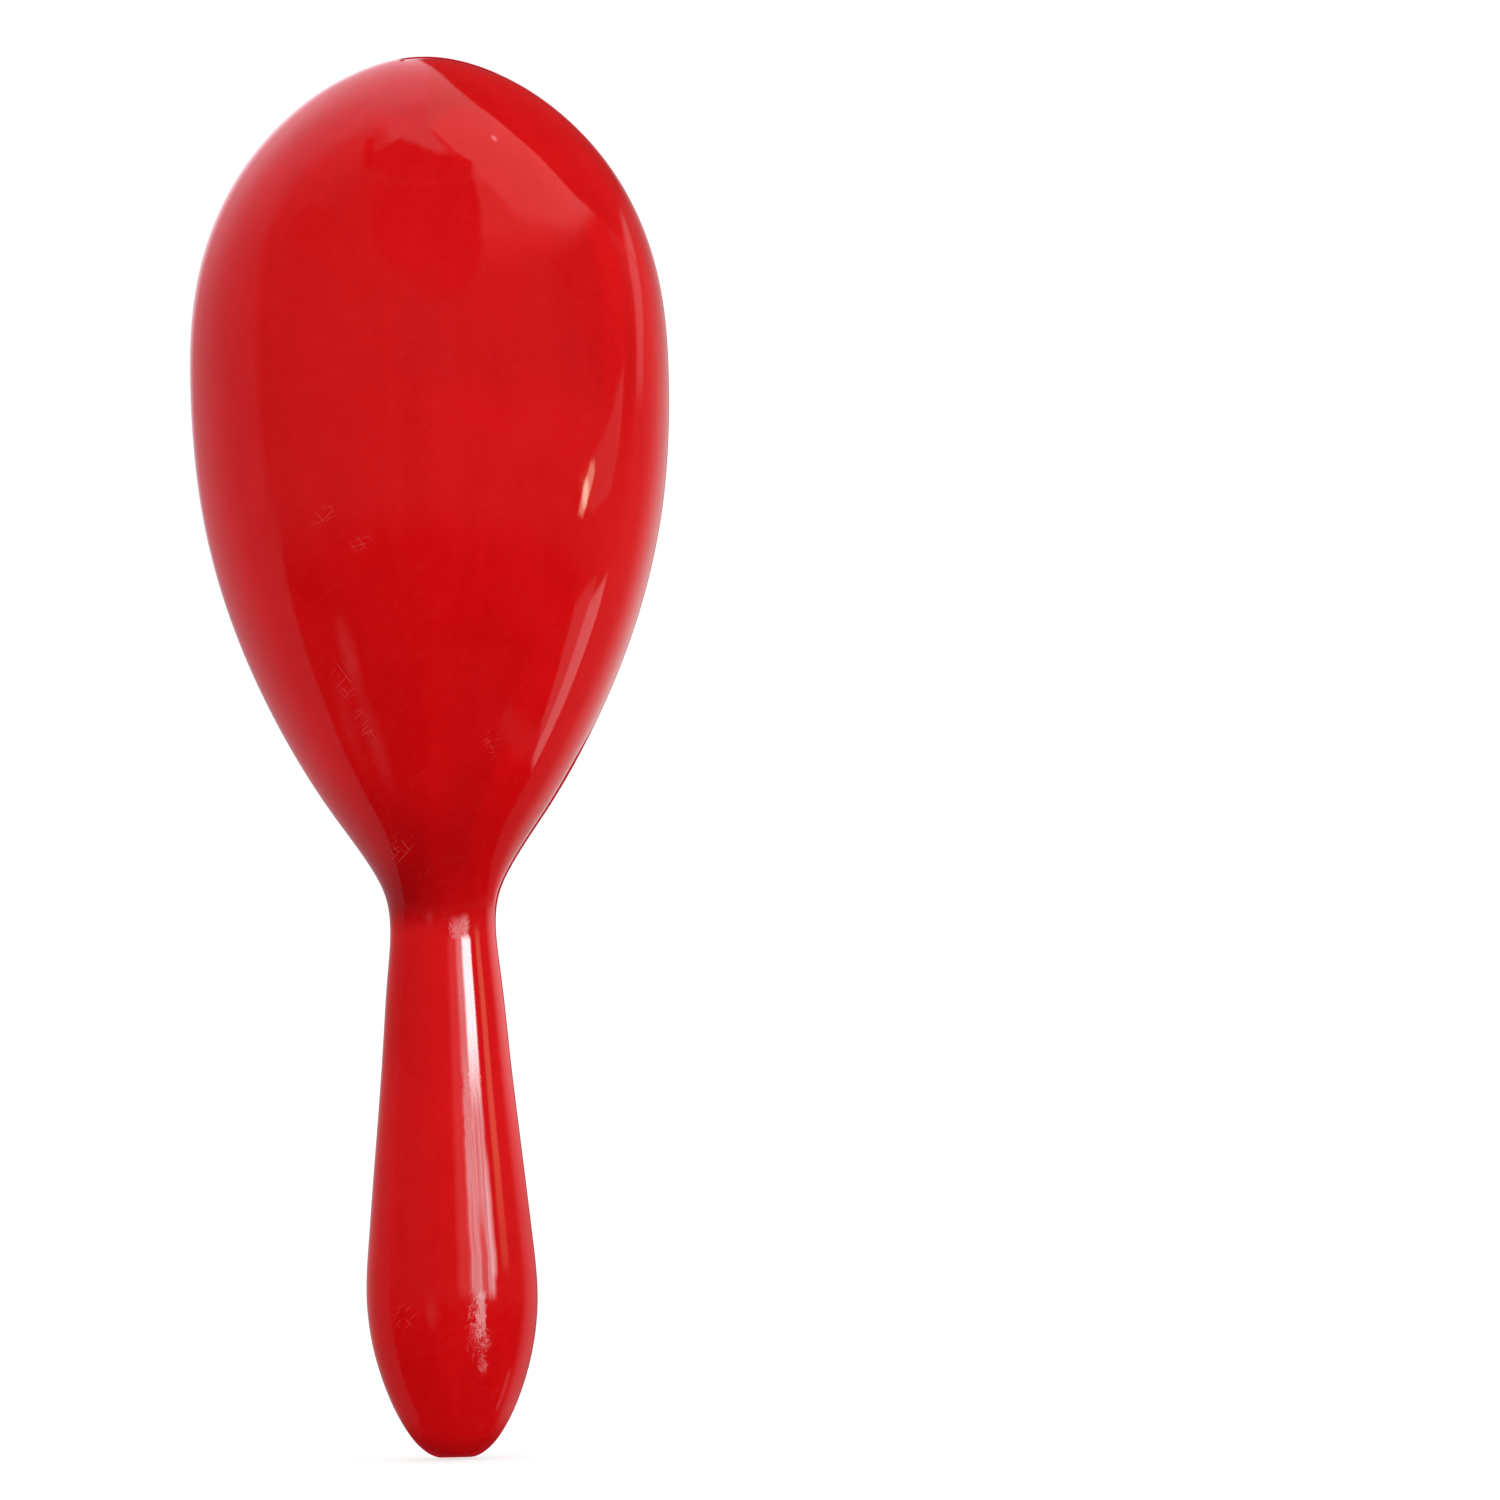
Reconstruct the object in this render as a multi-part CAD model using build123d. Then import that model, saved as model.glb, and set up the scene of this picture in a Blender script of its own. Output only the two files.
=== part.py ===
"""Handled shaker with an egg-shaped rattle head: two moulded half shells that
close round a charge of loose steel shot.

Frame: millimetres, +Z along the symmetry axis from the handle's tip to the
crown of the head, +Y to the back. The origin is the centre of the small flat
on the handle's tip. The shells part on the plane Y = 0.
"""

from build123d import *
import os

# ---------------------------------------------------------------- outside form
LENGTH = 200.0            # tip flat to crown
WALL = 1.8                # moulded wall, measured square to the surface
TIP_FLAT_R = 2.0

# Outside profile, (radius, height), between the edge of the tip flat and the crown.
PROFILE = [
    (4.42, 1.00), (6.99, 4.00), (9.82, 10.00), (11.67, 17.00),
    (12.22, 23.30),       # widest point of the grip
    (11.73, 31.00), (10.44, 44.00), (9.07, 58.00), (8.10, 69.00),
    (7.56, 76.20),        # narrowest point of the neck
    (8.08, 80.10), (10.14, 84.50), (15.22, 92.00), (22.33, 104.00),
    (29.13, 120.00), (32.98, 136.00),
    (34.15, 152.00),      # widest point of the head
    (32.95, 168.00), (27.55, 182.00), (19.00, 192.00), (10.40, 197.50),
]

# An inset profile is a spline through points taken along the outside profile.
INSET_SPANS = 56
INSET_CROWDING = 1.5      # above 1 crowds the points towards the tip

# ---------------------------------------------------------------- parting joint
# A lip on the front shell enters a rebate in the rear shell.
LIP_HEIGHT = 1.2          # how far the lip stands past the parting plane
LIP_ROOT = 0.6            # how far it runs back into the front shell's wall
LIP_OUT = 1.0             # wall left outside the lip
LIP_SIDE_GAP = 0.05       # bond line beside the lip
LIP_END_GAP = 0.10        # bond line past the end of the lip

# ---------------------------------------------------------------- inside the shells
# Floor across the head that keeps the shot out of the handle.
FLOOR_TOP = 98.6
FLOOR_T = 1.6

RIB_Z = (22.0, 44.0, 66.0)    # mid-heights of the cross ribs in the handle
RIB_T = 1.5

PLATE_OVERLAP = 0.5       # floor and ribs run this far into the wall
BOSS_OVERLAP = 0.4        # bosses run this far into the wall

# Locating pins on the front shell and their sockets in the rear one, each in a
# boss on the lowest or the highest rib.
PIN_Z = (RIB_Z[0], RIB_Z[-1])
BOSS_R = 3.0
PIN_R = 1.5
PIN_OUT = 3.5             # how far a pin stands past the parting plane
PIN_ROOT = 2.0            # how far it runs back into its boss
PIN_LEAD = 0.4            # chamfer on a pin's end
SOCKET_R = PIN_R + 0.08
SOCKET_DEPTH = PIN_OUT + 0.7
SOCKET_OVERCUT = 0.5      # the cutter starts this far outside the parting plane

# ---------------------------------------------------------------- shot
# Loose steel balls in one settled layer on the floor, (x, y) of each.
SHOT_R = 2.25
SHOT_REST_GAP = 0.02
SHOT_XY = [
    (-2.16, -3.94), (1.90, -1.37), (-2.21, 0.65), (-6.21, -1.76),
    (-5.86, -6.65), (0.11, -7.92), (3.98, -5.46), (6.48, -1.54),
    (6.79, 3.06), (4.51, 7.04), (-0.70, 6.04), (-4.82, 8.05),
    (-5.74, 3.56), (-10.51, -3.36), (-10.84, -7.94), (-3.47, -10.78),
    (0.06, -13.70), (3.86, -10.56), (7.75, -8.05), (10.93, -0.44),
    (11.24, 4.19), (-0.21, 11.12), (-9.03, 9.87), (-9.99, 5.24),
    (-11.81, 1.03), (-15.09, -3.89), (-8.00, -11.54), (4.43, -15.11),
    (10.65, -11.60), (13.55, -8.03), (14.33, -3.51), (15.54, 2.59),
    (12.97, 8.44), (9.02, 12.43), (-7.01, 13.99), (-13.36, 8.34),
    (-15.20, 4.13),
]


# ---------------------------------------------------------------- the profiles
def profile_curve(points):
    """A smooth curve from tip to crown, square to the axis at both ends."""
    return Spline(*points, tangents=[(1, 0), (-1, 0)], tangent_scalars=[1, 1])


OUTER = profile_curve([(TIP_FLAT_R, 0.0), *PROFILE, (0.0, LENGTH)])


def inset_profile(depth):
    """The outside profile set in by depth, measured square to it."""
    if depth == 0:
        return OUTER
    points = [(TIP_FLAT_R, depth)]
    for i in range(1, INSET_SPANS):
        along = (i / INSET_SPANS) ** INSET_CROWDING
        point = OUTER @ along
        tangent = OUTER % along
        points.append((point.X - tangent.Y * depth, point.Y + tangent.X * depth))
    points.append((0.0, LENGTH - depth))
    return profile_curve(points)


INNER = inset_profile(WALL)


def inner_radius(z):
    """The cavity's radius at a height, found by bisection along its profile."""
    low, high = 0.0, 1.0
    for _ in range(60):
        mid = (low + high) / 2
        if (INNER @ mid).Y < z:
            low = mid
        else:
            high = mid
    return (INNER @ low).X


def band_face(out_depth, in_depth):
    """The X-Z face at X >= 0 between two depths in from the outside."""
    tip_in = (0.0, in_depth)
    tip_out = (0.0, out_depth)
    face = make_face([
        inset_profile(out_depth),
        Line((0.0, LENGTH - out_depth), (0.0, LENGTH - in_depth)),
        inset_profile(in_depth),
        Line((TIP_FLAT_R, in_depth), tip_in),
        Line(tip_in, tip_out),
        Line(tip_out, (TIP_FLAT_R, out_depth)),
    ])
    return Plane.XZ * face


# ---------------------------------------------------------------- building blocks
def parting_band(out_depth, in_depth, start, end):
    """A band that follows the wall on both sides of the axis, between two
    depths in from the outside and from Y = start to Y = end."""
    face = band_face(out_depth, in_depth)
    right = Pos(0, start, 0) * extrude(face, amount=end - start, dir=(0, 1, 0))
    return right + mirror(right, about=Plane.YZ)


def cross_plate(z, thickness):
    """A half-round plate in Y >= 0, its lower face at z, that ends inside the wall."""
    radius = min(inner_radius(z), inner_radius(z + thickness)) + PLATE_OVERLAP
    disc = Pos(0, 0, z + thickness / 2) * Cylinder(radius, thickness)
    rear_half = Pos(0, 50, z) * Box(200, 100, 50)
    return disc & rear_half


def y_cylinder(radius, y0, y1, z):
    """A cylinder along Y from y0 to y1, centred on the axis at height z."""
    return Pos(0, (y0 + y1) / 2, z) * Rot(90, 0, 0) * Cylinder(radius, y1 - y0)


def half_shell():
    """What both shells share, in Y >= 0: wall, shot floor, cross ribs and bosses."""
    shell = revolve(band_face(0.0, WALL), axis=Axis.Z, revolution_arc=180)
    shell = shell + cross_plate(FLOOR_TOP - FLOOR_T, FLOOR_T)
    for z in RIB_Z:
        shell = shell + cross_plate(z - RIB_T / 2, RIB_T)
    for z in PIN_Z:
        shell = shell + y_cylinder(BOSS_R, 0.0, inner_radius(z) + BOSS_OVERLAP, z)
    return shell


# ---------------------------------------------------------------- the pieces
def build_front():
    """The shell in Y <= 0, with the lip and the pins standing past Y = 0."""
    shell = half_shell().rotate(Axis.Z, 180)
    shell = shell + parting_band(LIP_OUT, WALL, -LIP_ROOT, LIP_HEIGHT)
    for z in PIN_Z:
        pin = y_cylinder(PIN_R, -PIN_ROOT, PIN_OUT, z)
        end = pin.faces().sort_by(Axis.Y)[-1]
        shell = shell + chamfer(end.edges(), PIN_LEAD)
    return shell


def build_rear():
    """The shell in Y >= 0, with the rebate and the sockets cut into it."""
    shell = half_shell() - parting_band(
        LIP_OUT - LIP_SIDE_GAP,
        WALL + LIP_SIDE_GAP,
        0.0,
        LIP_HEIGHT + LIP_END_GAP,
    )
    for z in PIN_Z:
        shell = shell - y_cylinder(SOCKET_R, -SOCKET_OVERCUT, SOCKET_DEPTH, z)
    return shell


def build_shot(x, y):
    """One ball, resting just clear of the floor."""
    return Pos(x, y, FLOOR_TOP + SHOT_R + SHOT_REST_GAP) * Sphere(SHOT_R)


os.makedirs("parts", exist_ok=True)
export_step(build_front(), "parts/front_shell.step")
export_step(build_rear(), "parts/rear_shell.step")
for number, (x, y) in enumerate(SHOT_XY, 1):
    export_step(build_shot(x, y), f"parts/shot_{number:02d}.step")
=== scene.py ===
# A hollow, glossy red plastic body holding steel shot: a slim grip, a neck and a
# round head. It stands on its tip at the origin with its axis along +Z, 200 mm
# tall. The front shell lies at -Y, the rear shell at +Y, and they meet at y = 0.
import math
from functools import reduce

import bmesh
import bpy
import numpy as np
from mathutils import Matrix, Vector


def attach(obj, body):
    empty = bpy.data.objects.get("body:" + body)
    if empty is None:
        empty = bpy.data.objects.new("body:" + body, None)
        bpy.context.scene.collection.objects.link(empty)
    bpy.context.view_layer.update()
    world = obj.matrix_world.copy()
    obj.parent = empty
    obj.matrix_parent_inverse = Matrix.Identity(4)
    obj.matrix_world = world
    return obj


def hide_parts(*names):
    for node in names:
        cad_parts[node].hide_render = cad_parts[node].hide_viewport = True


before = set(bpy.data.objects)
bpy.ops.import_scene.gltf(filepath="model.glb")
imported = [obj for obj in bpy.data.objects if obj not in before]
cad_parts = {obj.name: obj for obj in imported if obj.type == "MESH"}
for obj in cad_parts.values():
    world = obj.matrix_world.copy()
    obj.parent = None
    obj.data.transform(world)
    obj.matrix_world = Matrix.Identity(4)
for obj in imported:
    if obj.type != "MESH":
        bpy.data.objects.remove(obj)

MM = 0.001          # shapes are worked out in millimetres, the scene in metres
FRONT, REAR = -1, 1     # a shell's side: the sign of its y
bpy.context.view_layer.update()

# ------------------------------------------------------------------ the shells
# Outside profile from tip to crown: (radius, height).
PROFILE = [
    (2.00, 0.00), (4.42, 1.00), (6.99, 4.00), (9.82, 10.00), (11.67, 17.00),
    (12.22, 23.30), (11.73, 31.00), (10.44, 44.00), (9.07, 58.00),
    (8.10, 69.00), (7.56, 76.20), (8.08, 80.10), (10.14, 84.50),
    (15.22, 92.00), (22.33, 104.00), (29.13, 120.00), (32.98, 136.00),
    (34.15, 152.00), (32.95, 168.00), (27.55, 182.00), (19.00, 192.00),
    (10.40, 197.50), (0.00, 200.00),
]
TIP_RINGS = (0.5, 1.0, 1.5)     # radii of the rings on the flat of the tip
CROWN_RING = 0.5                # radius of the last ring at the crown
WALL = 1.8
GAP = 0.02                      # half of the hairline left between the shells
ARRIS = {FRONT: 0.15, REAR: 0.05}           # rounding of the outside edge
ARRIS_STEPS = (0.0, 0.08, 0.26, 0.55, 1.0)  # columns across it, as shares
COLUMNS = 92                    # around half a turn, without those of the arris
# The front's lip enters the rear's rebate; "depth" is measured under the skin.
LIP_DEPTH, LIP_HEIGHT, LIP_LEAD = 1.0, 1.2, 0.15
REBATE_DEPTH, REBATE_HEIGHT = LIP_DEPTH - 0.05, LIP_HEIGHT + 0.1
POLE_RADIUS = 3.2               # the inside is widened at its poles within this
POLE_CLEARANCE = 0.25           # from the rebate to the narrowest widened row


class Curve:
    """A clamped cubic through the profile points, by chord length."""

    def __init__(self, points):
        points = np.array(points, float)
        chords = np.hypot(*np.diff(points, axis=0).T)
        knots = np.concatenate([[0.0], np.cumsum(chords)])
        count, spans = len(points), np.diff(knots)
        matrix, target = np.zeros((count, count)), np.zeros((count, 2))
        matrix[0, 0] = matrix[-1, -1] = 1.0
        target[0], target[-1] = (1.0, 0.0), (-1.0, 0.0)
        for i in range(1, count - 1):
            before, after = spans[i - 1], spans[i]
            matrix[i, i - 1 : i + 2] = after, 2 * (before + after), before
            target[i] = 3 * (
                after * (points[i] - points[i - 1]) / before
                + before * (points[i + 1] - points[i]) / after
            )
        self.points, self.knots = points, knots
        self.tangents = np.linalg.solve(matrix, target)
        self.length = knots[-1]

    def at(self, distance):
        """(radius, height) and the outward unit normal in the section."""
        k = int(np.searchsorted(self.knots, distance, side="right") - 1)
        k = int(np.clip(k, 0, len(self.points) - 2))
        span = self.knots[k + 1] - self.knots[k]
        s = (distance - self.knots[k]) / span
        start, end = self.points[k], self.points[k + 1]
        leave, arrive = self.tangents[k] * span, self.tangents[k + 1] * span
        point = (
            (2 * s**3 - 3 * s**2 + 1) * start + (s**3 - 2 * s**2 + s) * leave
            + (3 * s**2 - 2 * s**3) * end + (s**3 - s**2) * arrive
        )
        slope = (
            (6 * s**2 - 6 * s) * start + (3 * s**2 - 4 * s + 1) * leave
            + (6 * s - 6 * s**2) * end + (3 * s**2 - 2 * s) * arrive
        )
        slope = slope / np.hypot(*slope)
        return point, np.array([slope[1], -slope[0]])


def crown_end(curve):
    """Distance along the curve at which it has narrowed to the crown ring."""
    low, high = curve.length - 12.0, curve.length
    for _ in range(50):
        middle = (low + high) / 2
        if curve.at(middle)[0][0] > CROWN_RING:
            low = middle
        else:
            high = middle
    return low


def profile_rows():
    """Points and normals of the rows: the tip flat first, then the curve."""
    least_step, extra_step = 0.30, 0.75
    tip_reach, crown_reach = 14.0, 16.0     # finer within these of either end
    neck_height, neck_reach = 84.0, 12.0    # and finer around the neck
    neck_share = 0.45                       # least share of the extra step there
    curve = Curve(PROFILE)
    rows = [((radius, 0.0), (0.0, -1.0)) for radius in TIP_RINGS]
    distance, end = 0.0, crown_end(curve)
    while distance < end - 0.2:
        point, normal = curve.at(distance)
        rows.append((point, normal))
        ends = min(distance / tip_reach, (curve.length - distance) / crown_reach, 1.0)
        neck = 1.0
        if 60 < point[1] < 108:
            neck = abs(point[1] - neck_height) / neck_reach
        share = min(ends, max(neck_share, min(neck, 1.0)))
        distance += least_step + extra_step * share
    rows.append(curve.at(end))
    points, normals = zip(*rows)
    return np.array(points), np.array(normals)


ROW_POINTS, ROW_NORMALS = profile_rows()
ROWS = len(ROW_POINTS)
INNER = ROW_POINTS - ROW_NORMALS * WALL     # the inside section, row by row


def moulding_waves(x, y, z):
    """The slow unevenness of a blow-thin moulded wall."""
    broad = np.sin(0.31 * x + 0.17 * z + 0.6) * np.sin(0.23 * y - 0.11 * z + 1.9)
    middling = np.sin(0.52 * x - 0.29 * z + 2.2) * np.cos(0.47 * y + 0.21 * z)
    small = np.sin(0.93 * z + 0.38 * x) * np.cos(0.71 * x - 0.55 * y + 0.4)
    # ripples low on the grip
    ripples = np.sin(1.05 * z + 0.25 * x + 0.4 * np.sin(0.5 * x))
    ripples = np.exp(-(((z - 18.0) / 7.5) ** 2)) * 0.0060 * ripples
    waves = 0.0050 * broad + 0.0032 * middling + 0.0018 * small + ripples
    return waves * np.clip(z / 3.0, 0.0, 1.0)


def smooth_step(value, start, end):
    t = min(max((value - start) / (end - start), 0.0), 1.0)
    return t * t * (3 - 2 * t)


def mismatch(x, y, z):
    """How far the front shell's edge lies inside the rear shell's, where the
    two halves don't quite meet; it fades away from the edge."""
    right = smooth_step(x, 0.0, 2.0)
    crown = smooth_step(z, 196.3, 197.2)
    crown *= smooth_step(x, -3.2, -2.2) * smooth_step(x, 11.4, 10.2)
    neck = right * smooth_step(z, 75.0, 80.0) * smooth_step(z, 105.0, 97.0)
    grip = right * smooth_step(z, 3.0, 6.0) * smooth_step(z, 80.0, 74.0)
    tip = (0.33 - 0.02 * x) * smooth_step(z, 3.0, 1.3)
    depth = 0.05 + 0.24 * crown + 0.24 * neck + 0.07 * grip + tip
    # how far from the parting plane it reaches, farther at the tip and crown
    reach = 0.12 * math.hypot(x, y) + 0.5
    reach += 4.5 * max(smooth_step(z, 3.5, 1.5), smooth_step(z, 195.0, 198.0))
    return depth * math.exp(-((y / reach) ** 2))


def outer_sheet(side):
    """Vertices of a shell's outside, rows by columns, from right to left."""
    arris = ARRIS[side]
    insets = np.array(ARRIS_STEPS) * arris
    grid = np.zeros((ROWS, COLUMNS + 2 * len(insets) - 1, 3))
    for i in range(ROWS):
        (radius, height), (normal_r, normal_z) = ROW_POINTS[i], ROW_NORMALS[i]
        edge = [(math.asin((GAP + inset) / radius), inset) for inset in insets]
        first = edge[-1][0]
        last = math.pi - first
        stations = edge + [
            (first + (last - first) * k / COLUMNS, arris) for k in range(1, COLUMNS)
        ]
        stations += [(math.pi - angle, inset) for angle, inset in reversed(edge)]
        for j, (angle, inset) in enumerate(stations):
            drop = arris - math.sqrt(max(0.0, arris**2 - (arris - inset) ** 2))
            x0, y0 = radius * math.cos(angle), radius * math.sin(angle)
            if side == FRONT:
                drop += mismatch(x0, y0, height)
            move = moulding_waves(x0, side * y0, height) - drop
            moved = radius + normal_r * move
            # the arris columns keep their distance from the parting plane
            y = y0 if inset < arris else moved * math.sin(angle)
            x = math.copysign(math.sqrt(max(0.0, moved * moved - y * y)), x0)
            grid[i, j] = (x, side * y, height + normal_z * move)
    return grid


def parting_loop(depth, y):
    """The closed loop round the section at a depth under the skin and one y."""
    section = ROW_POINTS - ROW_NORMALS * depth
    right = [(radius, y, z) for radius, z in section]
    left = [(-radius, y, z) for radius, z in section[::-1]]
    return right + left


def widened_inner(least):
    """The inside section with its polar ends drawn out to a radius of at least
    `least`, so that a sheet can start at that distance from the parting plane."""
    section = INNER.copy()
    for order in (range(ROWS), range(ROWS - 1, -1, -1)):
        reach = next(k for k, row in enumerate(order) if INNER[row, 0] >= POLE_RADIUS)
        radii, heights = INNER[list(order[: reach + 1])].T
        for k in range(reach):
            share = (radii[k] - radii[0]) / (radii[reach] - radii[0])
            radius = least + (radii[reach] - least) * share
            section[order[k]] = (radius, np.interp(radius, radii, heights))
    return section


def inner_sheet(side, start):
    """Vertices of the inside; start is the y of its first and last column."""
    section = widened_inner(start + POLE_CLEARANCE) if start > 0 else INNER
    grid = np.zeros((ROWS, COLUMNS + 1, 3))
    for i, (radius, z) in enumerate(section):
        first = math.asin(start / radius) if start > 0 else 0.0
        for j in range(COLUMNS + 1):
            angle = first + (math.pi - 2 * first) * j / COLUMNS
            grid[i, j] = (radius * math.cos(angle), side * radius * math.sin(angle), z)
    return grid


def closed_mesh(name, points, faces):
    """A mesh from points in millimetres, with its faces turned outward."""
    mesh = bpy.data.meshes.new(name)
    mesh.from_pydata([[c * MM for c in point] for point in points], [], faces)
    bm = bmesh.new()
    bm.from_mesh(mesh)
    bmesh.ops.recalc_face_normals(bm, faces=bm.faces)
    if bm.calc_volume(signed=True) < 0:
        bmesh.ops.reverse_faces(bm, faces=bm.faces)
    bm.to_mesh(mesh)
    bm.free()
    return mesh


def shell_mesh(name, side):
    """Outside and inside sheets, joined by loops that form the lip or rebate."""
    points, faces = [], []

    def add_grid(grid):
        """Add a sheet with end caps, and return its border as a loop."""
        rows, columns = grid.shape[:2]
        index = np.arange(rows * columns).reshape(rows, columns) + len(points)
        points.extend(grid.reshape(-1, 3).tolist())
        for i in range(rows - 1):
            for j in range(columns - 1):
                faces.append(
                    (index[i, j], index[i, j + 1], index[i + 1, j + 1], index[i + 1, j])
                )
        faces.append(tuple(index[0]))
        faces.append(tuple(index[-1]))
        return list(index[:, 0]) + list(index[::-1, -1])

    def stitch(one, two):
        for k in range(len(one)):
            m = (k + 1) % len(one)
            faces.append((one[k], one[m], two[m], two[k]))

    last = add_grid(outer_sheet(side))
    if side == REAR:
        inner = add_grid(inner_sheet(side, REBATE_HEIGHT))
        levels = [(REBATE_DEPTH, GAP), (REBATE_DEPTH, REBATE_HEIGHT)]
    else:
        inner = add_grid(inner_sheet(side, 0.0))
        levels = [
            (LIP_DEPTH, -GAP),
            (LIP_DEPTH, LIP_HEIGHT - LIP_LEAD),
            (LIP_DEPTH + LIP_LEAD, LIP_HEIGHT),
            (WALL - LIP_LEAD, LIP_HEIGHT),
            (WALL, LIP_HEIGHT - LIP_LEAD),
        ]
    for depth, y in levels:
        base = len(points)
        points.extend(parting_loop(depth, y))
        loop = list(range(base, len(points)))
        stitch(last, loop)
        last = loop
    stitch(last, inner)
    return closed_mesh(name, points, faces)


# ------------------------------------------------- plates, bosses, pins, sockets
FLOOR_TOP, FLOOR_T = 98.6, 1.6          # the plate across the bottom of the head
RIB_Z, RIB_T = (22.0, 44.0, 66.0), 1.5
PIN_Z = (RIB_Z[0], RIB_Z[-1])
BOSS_R, PIN_R, PIN_OUT, PIN_LEAD = 3.0, 1.5, 3.5, 0.4
SOCKET_R, SOCKET_DEPTH = PIN_R + 0.08, 4.2
FLAT_Y = GAP + 0.012                    # plates and bosses stop here
PLATE_SINK, BOSS_SINK = 0.5, 0.4        # how far they run into the wall
PLATE_SEGMENTS, BOSS_SEGMENTS, PIN_SEGMENTS = 64, 48, 40


def inner_radius(z):
    return float(np.interp(z, INNER[4:-4, 1], INNER[4:-4, 0]))


def solid_of(sections):
    """A closed solid through rings of equal count, with flat ends."""
    points, faces, count = sum(sections, []), [], len(sections[0])
    last = (len(sections) - 1) * count
    for a in range(0, last, count):
        b = a + count
        for k in range(count):
            m = (k + 1) % count
            faces.append((a + k, a + m, b + m, b + k))
    faces.append(tuple(range(count))[::-1])
    faces.append(tuple(range(last, last + count)))
    return bpy.data.objects.new("tool", closed_mesh("tool", points, faces))


def half_plate(side, z, thickness):
    radius = min(inner_radius(z), inner_radius(z + thickness)) + PLATE_SINK
    first = math.asin(FLAT_Y / radius)
    ring = []
    for k in range(PLATE_SEGMENTS + 1):
        angle = first + (math.pi - 2 * first) * k / PLATE_SEGMENTS
        ring.append((radius * math.cos(angle), side * radius * math.sin(angle)))
    return solid_of([[(x, y, level) for x, y in ring] for level in (z, z + thickness)])


def cross_rod(stations, z, segments=PIN_SEGMENTS):
    """A round rod along Y through (y, radius) stations."""
    angles = [2 * math.pi * (k + 0.5) / segments for k in range(segments)]
    return solid_of([
        [(radius * math.cos(angle), y, z + radius * math.sin(angle)) for angle in angles]
        for y, radius in stations
    ])


def combine(target, tool, operation):
    """Apply a boolean to the target and throw the tool away."""
    bpy.context.scene.collection.objects.link(tool)
    modifier = target.modifiers.new("cut", "BOOLEAN")
    modifier.operation = operation
    modifier.object = tool
    modifier.solver = "EXACT"
    graph = bpy.context.evaluated_depsgraph_get()
    graph.update()
    mesh = bpy.data.meshes.new_from_object(target.evaluated_get(graph))
    target.modifiers.remove(modifier)
    old_mesh, tool_mesh = target.data, tool.data
    target.data = mesh
    bpy.data.meshes.remove(old_mesh)
    bpy.data.objects.remove(tool)
    bpy.data.meshes.remove(tool_mesh)


def furnish(shell, side):
    """Add the plates and bosses, then pins in front or sockets in the rear."""
    combine(shell, half_plate(side, FLOOR_TOP - FLOOR_T, FLOOR_T), "UNION")
    for z in RIB_Z:
        combine(shell, half_plate(side, z - RIB_T / 2, RIB_T), "UNION")
    for z in PIN_Z:
        reach = inner_radius(z) + BOSS_SINK
        boss = [(side * FLAT_Y, BOSS_R), (side * reach, BOSS_R)]
        combine(shell, cross_rod(boss, z, BOSS_SEGMENTS), "UNION")
        if side == FRONT:
            # the root starts inside the boss, the free end is chamfered
            pin = [(-2.0, PIN_R), (PIN_OUT - PIN_LEAD, PIN_R), (PIN_OUT, PIN_R - PIN_LEAD)]
            combine(shell, cross_rod(pin, z), "UNION")
        else:
            socket = [(-0.5, SOCKET_R), (SOCKET_DEPTH, SOCKET_R)]
            combine(shell, cross_rod(socket, z), "DIFFERENCE")


def make_shell(name, node, side):
    shell = bpy.data.objects.new(name, shell_mesh(name, side))
    bpy.context.scene.collection.objects.link(shell)
    furnish(shell, side)
    shell.data.name = name
    for poly in shell.data.polygons:
        poly.use_smooth = True
    shell.data.set_sharp_from_angle(angle=math.radians(40))
    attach(shell, "shell")
    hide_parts(node)
    return shell


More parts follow.
